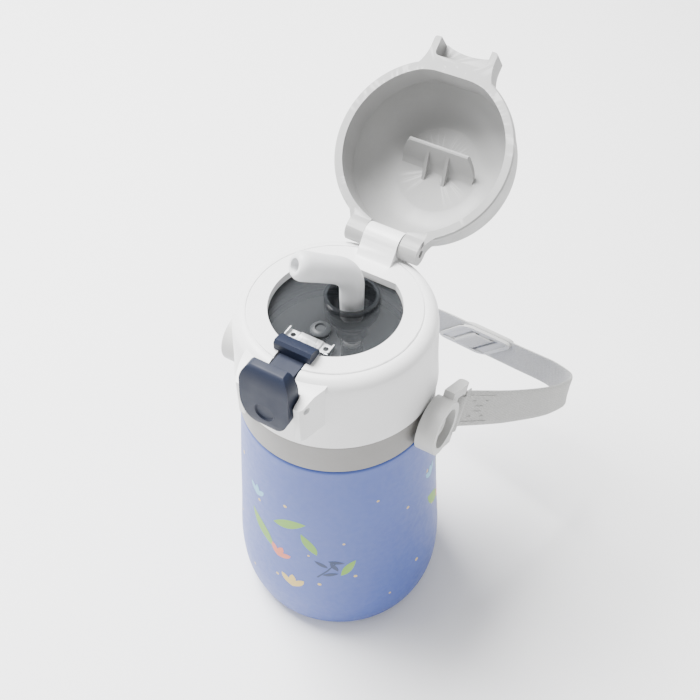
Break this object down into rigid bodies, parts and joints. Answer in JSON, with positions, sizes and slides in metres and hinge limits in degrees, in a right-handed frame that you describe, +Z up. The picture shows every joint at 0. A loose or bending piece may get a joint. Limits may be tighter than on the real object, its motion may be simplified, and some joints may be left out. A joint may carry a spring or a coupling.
{
  "type": "insulated drinking bottle",
  "caption": "Insulated steel drinking bottle for a child: screw cap with a smoked window, folding spout, flip lid on a push latch, and a webbing carry strap.",
  "frame": {"origin": "centre of the base, on the surface that the bottle stands on", "axes": "+Z up out of the base through the cap; -Y is the front with the push latch; +Y is the back with the lid hinge; +X and -X are the two strap studs"},
  "size_m": [0.1352, 0.1377, 0.2039],
  "materials": {
    "painted_body": "satin powder coat",
    "steel": "brushed",
    "spring_wire": "drawn wire",
    "white_plastic": "satin",
    "lid_plastic": "satin",
    "grey_plastic": "satin",
    "clip_plastic": "satin",
    "navy_plastic": "satin",
    "smoked_clear": "clear, smoked",
    "silicone": "translucent, matte",
    "dark_silicone": "matte",
    "webbing": "woven"
  },
  "bodies": {
    "flask": {"outer_shell": "painted_body", "inner_liner": "steel", "base_plate": "steel", "vacuum_getter": "steel", "collar_ring": "grey_plastic", "stud_right": "clip_plastic", "stud_left": "clip_plastic"},
    "gasket": {"cap_gasket": "silicone"},
    "cap": {"cap_shell": "white_plastic", "window_insert": "smoked_clear", "vent_valve": "dark_silicone", "latch_strip": "steel", "spout_leg": "silicone", "straw_tube": "silicone", "straw_sleeve": "dark_silicone", "latch_pin": "steel", "latch_spring": "spring_wire", "lid_spring": "spring_wire"},
    "lid": {"lid_shell": "lid_plastic", "lid_pin": "steel"},
    "spout": {"spout_arm": "silicone"},
    "latch": {"latch": "navy_plastic"},
    "strap": {"clip_right": "clip_plastic", "clip_left": "clip_plastic", "strap_webbing": "webbing"},
    "buckle": {"strap_buckle": "clip_plastic"}
  },
  "joints": [
    {"name": "cap_lift", "type": "slide", "parent": "flask", "child": "gasket", "axis": [0, 0, 1], "range_m": [0, 0.0042]},
    {"name": "cap_turn", "type": "hinge", "parent": "gasket", "child": "cap", "pos_m": [0, 0, 0.14], "axis": [0, 0, 1], "range_deg": [0, 360]},
    {"name": "lid_hinge", "type": "hinge", "parent": "cap", "child": "lid", "pos_m": [0, 0.0334, 0.1565], "axis": [1, 0, 0], "range_deg": [0, 141], "stiffness_Nm_per_rad": 0.006},
    {"name": "spout_fold", "type": "hinge", "parent": "cap", "child": "spout", "pos_m": [0.0012, 0.0086, 0.1625], "axis": [0.848, -0.5299, 0], "range_deg": [0, 31.5]},
    {"name": "latch_press", "type": "hinge", "parent": "cap", "child": "latch", "pos_m": [0, -0.0387, 0.148], "axis": [1, 0, 0], "range_deg": [0, 4], "stiffness_Nm_per_rad": 0.5, "deforming": ["latch_spring"]},
    {"name": "strap_swing", "type": "hinge", "parent": "flask", "child": "strap", "pos_m": [0, 0, 0.1155], "axis": [1, 0, 0], "range_deg": [-20, 35]},
    {"name": "buckle_slide", "type": "slide", "parent": "strap", "child": "buckle", "axis": [-0.9871, 0.1344, -0.0876], "range_m": [-0.006, 0.006]}
  ],
  "couplings": [
    {"joint": "cap_lift", "follows": "cap_turn", "m_per_rad": 0.00063662},
    {"joint": "spout_fold", "follows": "lid_hinge", "ratio": 0.21986}
  ]
}
